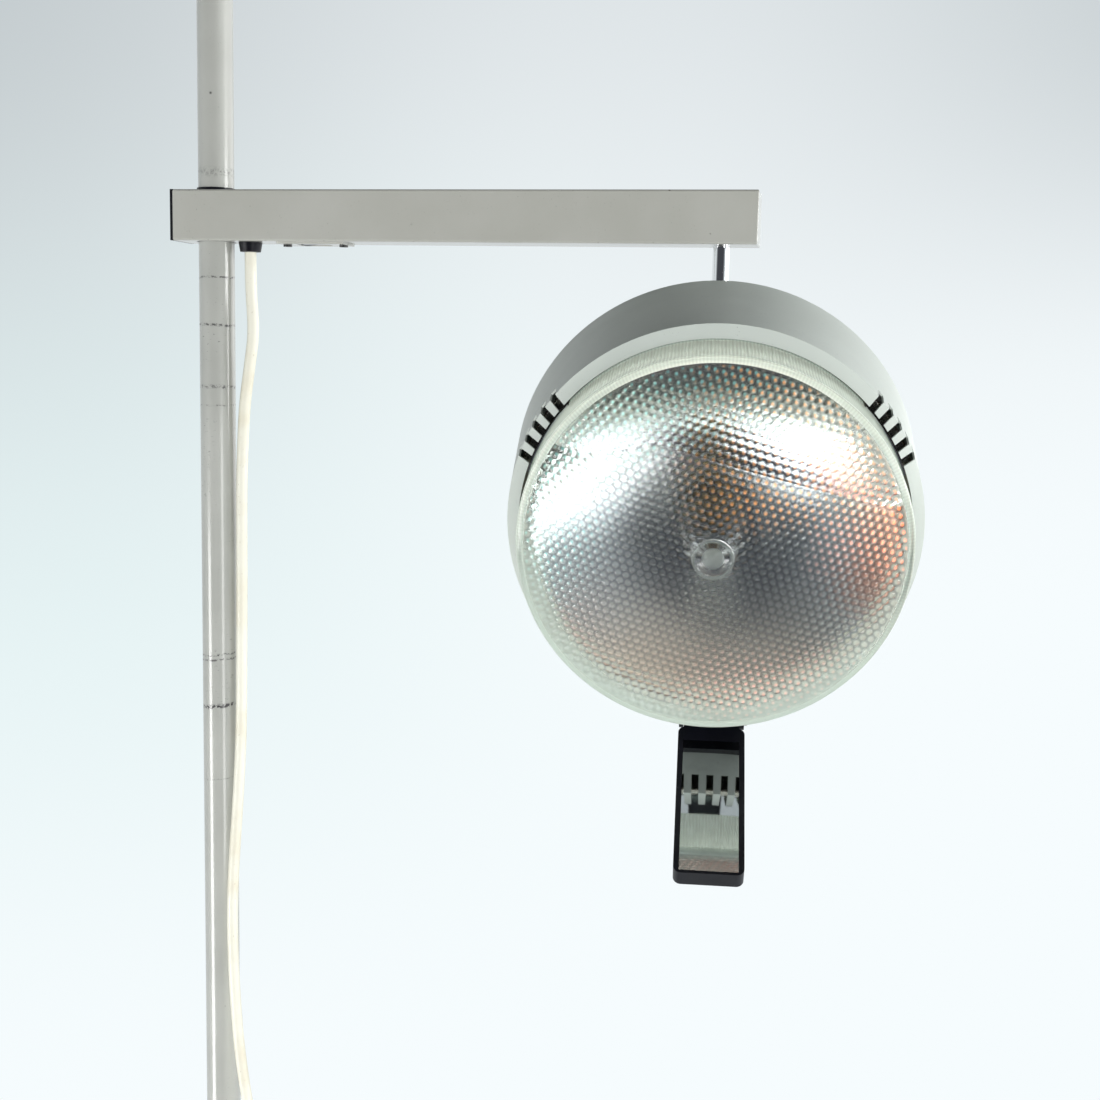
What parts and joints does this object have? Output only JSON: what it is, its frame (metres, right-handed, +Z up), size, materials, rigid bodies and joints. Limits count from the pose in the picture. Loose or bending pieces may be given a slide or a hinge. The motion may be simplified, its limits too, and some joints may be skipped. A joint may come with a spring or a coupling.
{
  "type": "medical floor lamp",
  "caption": "Medical examination floor lamp: round weighted base, pole, box arm that slides and swivels, tilting drum head with ribbed lens, small mirror handle and mains cord.",
  "frame": {"origin": "on the floor, at the centre of the base's underside, on the pole's axis", "axes": "+Z up along the pole, +X along the arm towards the head, the lens faces -Y"},
  "size_m": [0.682, 0.38, 1.72],
  "materials": {
    "pole_paint": "grey gloss paint, worn",
    "arm_paint": "warm grey gloss paint, chipped",
    "head_paint": "grey gloss paint",
    "base_paint": "grey paint",
    "socket_paint": "grey paint",
    "rubber": "matt",
    "black_plastic": "satin",
    "cord_ivory": "satin PVC",
    "wiring": "PVC",
    "chrome": "bright",
    "steel": "plated",
    "dark_steel": "blackened",
    "nylon": "natural",
    "reflector": "mirror bright, coated",
    "lens_clear": "clear, ribbed wall and bumped face",
    "bulb_clear": "clear",
    "brass": "plated",
    "ceramic": "glazed",
    "mirror": "silvered"
  },
  "bodies": {
    "stand": {"base_disc": "base_paint", "base_pad": "rubber", "pole_socket": "socket_paint", "socket_screws": "steel", "pole": "pole_paint", "pole_lock_screw": "black_plastic", "pole_cap": "black_plastic", "cord_drop": "cord_ivory", "cord_coil": "cord_ivory", "cord_tie": "black_plastic", "mains_plug": "cord_ivory", "plug_pins": "brass", "plug_strain_relief": "cord_ivory"},
    "carriage": {"slide_sleeve": "black_plastic", "sleeve_rings": "black_plastic"},
    "arm": {"arm_tube": "arm_paint", "arm_end_plug": "black_plastic", "arm_end_plate": "arm_paint", "cord_gland": "black_plastic", "gland_nut": "black_plastic", "switch_plate": "arm_paint", "plate_screws": "dark_steel", "switch_body": "black_plastic", "terminal_block": "wiring", "arm_wiring": "wiring", "stem_bush": "nylon"},
    "rocker": {"switch_rocker": "black_plastic"},
    "stem": {"stem": "chrome", "stem_collar": "steel", "stem_washer": "steel", "stem_knuckle": "steel"},
    "head": {"head_shell": "head_paint", "hinge_bracket": "head_paint", "bracket_screws": "steel", "hinge_bolt": "steel", "hinge_nut": "steel", "friction_washers": "nylon", "reflector": "reflector", "lens": "lens_clear", "lens_bands": "chrome", "lens_clips": "steel", "lampholder": "ceramic", "bulb_cap": "brass", "bulb_glass": "bulb_clear", "handle_bracket": "black_plastic", "mirror_pin": "steel"},
    "mirror": {"mirror_frame": "black_plastic", "mirror_glass": "mirror"}
  },
  "joints": [
    {"name": "arm_height", "type": "slide", "parent": "stand", "child": "carriage", "axis": [0, 0, 1], "range_m": [-0.4, 0.25], "deforming": ["cord_drop"]},
    {"name": "arm_swivel", "type": "hinge", "parent": "carriage", "child": "arm", "pos_m": [0, 0, 1.4], "axis": [0, 0, 1], "range_deg": [-170, 170]},
    {"name": "switch_rock", "type": "hinge", "parent": "arm", "child": "rocker", "pos_m": [0.0735, 0, 1.3895], "axis": [0, 1, 0], "range_deg": [0, 16]},
    {"name": "head_swivel", "type": "hinge", "parent": "arm", "child": "stem", "pos_m": [0.356, 0, 1.3825], "axis": [0, 0, 1], "range_deg": [-170, 170]},
    {"name": "head_tilt", "type": "hinge", "parent": "stem", "child": "head", "pos_m": [0.356, 0, 1.3325], "axis": [0.9959, 0.0906, 0], "range_deg": [-12, 54]},
    {"name": "mirror_tilt", "type": "hinge", "parent": "head", "child": "mirror", "pos_m": [0.36051, 0.00342, 1.061], "axis": [0.9959, 0.0906, 0], "range_deg": [-20, 45]}
  ]
}
